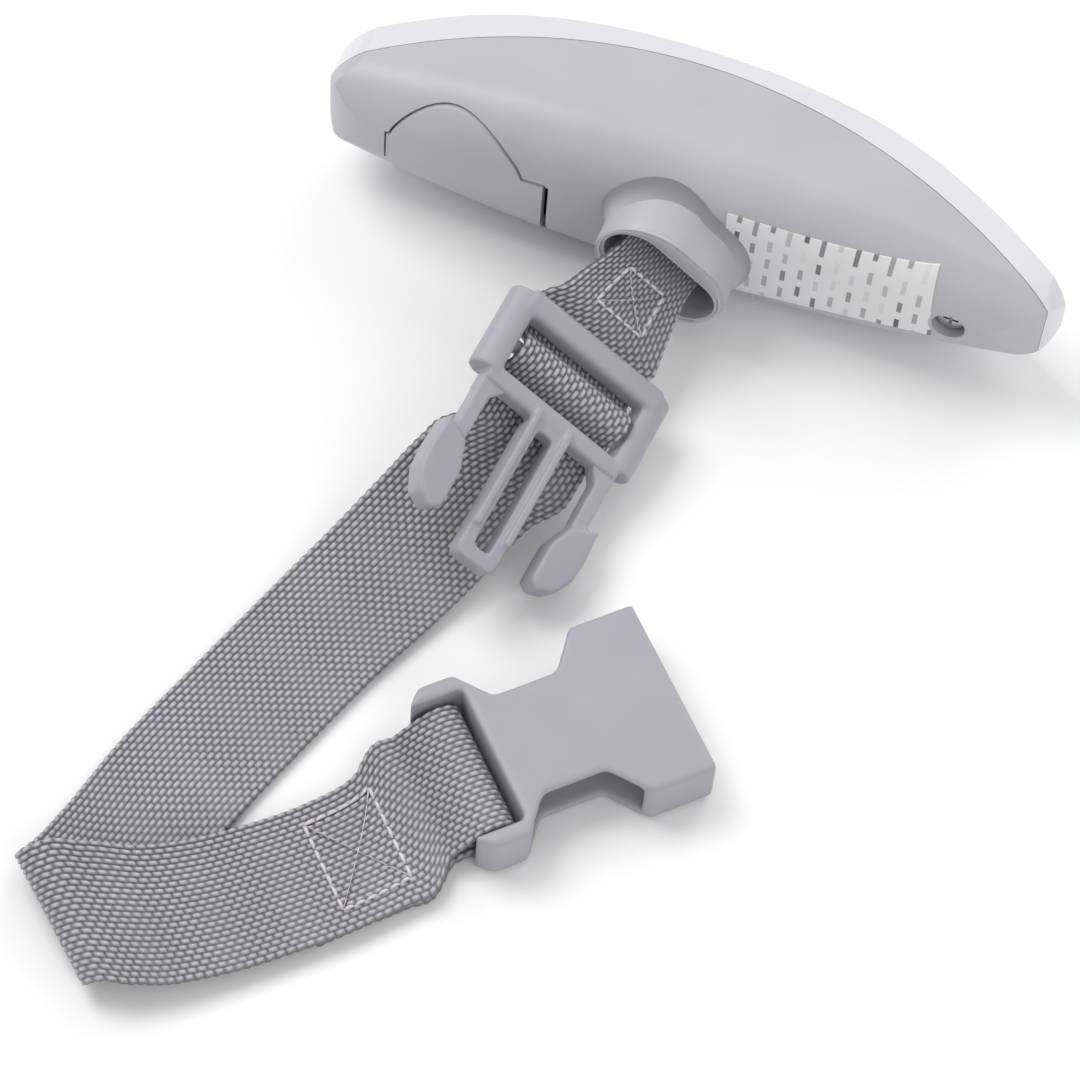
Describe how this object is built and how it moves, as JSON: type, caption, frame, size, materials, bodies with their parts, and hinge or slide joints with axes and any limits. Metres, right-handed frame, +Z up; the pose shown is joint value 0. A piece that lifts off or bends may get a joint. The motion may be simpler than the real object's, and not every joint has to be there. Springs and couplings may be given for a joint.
{
  "type": "digital luggage scale",
  "caption": "Hand-held luggage scale: arched handle with display and battery bay, strap collar under it, flat webbing strap and side-release buckle",
  "frame": {"origin": "Middle of the whole scale's box, on the table it lies on", "axes": "X along the handle, Y from the strap's fold towards the handle's arched back, Z up from the table"},
  "size_m": [0.1395, 0.1991, 0.034],
  "materials": {
    "bottom_shell": "smooth lavender grey moulding, fine satin",
    "top_cover": "white glossy moulding",
    "display_lens": "clear acrylic window",
    "lcd_panel": "grey green display glass",
    "zebra_strips": "layered conductive rubber",
    "circuit_board": "green solder mask over glass fibre",
    "button_domes": "pressed spring steel domes",
    "power_button": "satin grey key",
    "unit_button": "satin grey key",
    "load_cell": "milled aluminium",
    "strain_gauge": "amber foil gauges",
    "load_cell_screws": "zinc plated steel",
    "strap_eye": "plated steel",
    "eye_nut": "plain brass",
    "coin_cell": "nickel plated steel can",
    "positive_contact": "sprung brass strip",
    "negative_contact": "sprung brass strip",
    "battery_cover": "smooth lavender grey moulding",
    "battery_leads": "insulated hook-up wire",
    "gauge_leads": "insulated hook-up wire",
    "case_screw": "zinc plated cross-recess screw",
    "info_label": "white film label, left without words",
    "webbing_strap": "flat woven grey polypropylene webbing",
    "upper_stitching": "light polyester thread",
    "end_stitching": "light polyester thread",
    "male_buckle": "grey acetal moulding",
    "left_prong": "grey acetal moulding",
    "right_prong": "grey acetal moulding",
    "female_buckle": "grey acetal moulding"
  },
  "bodies": {
    "handle": {"bottom_shell": "bottom_shell", "top_cover": "top_cover", "display_lens": "display_lens", "lcd_panel": "lcd_panel", "zebra_strips": "zebra_strips", "circuit_board": "circuit_board", "button_domes": "button_domes", "load_cell": "load_cell", "strain_gauge": "strain_gauge", "load_cell_screws": "load_cell_screws", "strap_eye": "strap_eye", "eye_nut": "eye_nut", "coin_cell": "coin_cell", "positive_contact": "positive_contact", "negative_contact": "negative_contact", "battery_leads": "battery_leads", "gauge_leads": "gauge_leads", "case_screw": "case_screw", "info_label": "info_label"},
    "strap": {"webbing_strap": "webbing_strap", "upper_stitching": "upper_stitching", "end_stitching": "end_stitching", "male_buckle": "male_buckle"},
    "left_arm": {"left_prong": "left_prong"},
    "right_arm": {"right_prong": "right_prong"},
    "socket": {"female_buckle": "female_buckle"},
    "power_key": {"power_button": "power_button"},
    "unit_key": {"unit_button": "unit_button"},
    "cover": {"battery_cover": "battery_cover"}
  },
  "joints": [
    {"name": "strap_swing", "type": "hinge", "parent": "handle", "child": "strap", "pos_m": [0, 0.073, 0.017], "axis": [0.788, 0, -0.6157], "range_deg": [-4, 4]},
    {"name": "left_prong_flex", "type": "hinge", "parent": "strap", "child": "left_arm", "pos_m": [-0.01909, 0.02216, 0.02346], "axis": [0.551, -0.1287, 0.8245], "range_deg": [0, 7], "stiffness_Nm_per_rad": 0.6},
    {"name": "right_prong_flex", "type": "hinge", "parent": "strap", "child": "right_arm", "pos_m": [0.00393, 0.02115, 0.00791], "axis": [-0.551, 0.1287, -0.8245], "range_deg": [0, 7], "stiffness_Nm_per_rad": 0.6},
    {"name": "socket_pivot", "type": "hinge", "parent": "strap", "child": "socket", "pos_m": [0.00292, -0.04038, 0.00525], "axis": [0.7071, -0.7071, 0], "range_deg": [-25, 35]},
    {"name": "power_press", "type": "slide", "parent": "handle", "child": "power_key", "axis": [-0.2257, -0.9742, 0], "range_m": [0, 0.0005], "stiffness_N_per_m": 800},
    {"name": "unit_press", "type": "slide", "parent": "handle", "child": "unit_key", "axis": [0.1978, -0.9802, 0], "range_m": [0, 0.0005], "stiffness_N_per_m": 800},
    {"name": "cover_hinge", "type": "hinge", "parent": "handle", "child": "cover", "pos_m": [-0.0258, 0.0684, 0.017], "axis": [0, 0, 1], "range_deg": [0, 60]}
  ]
}
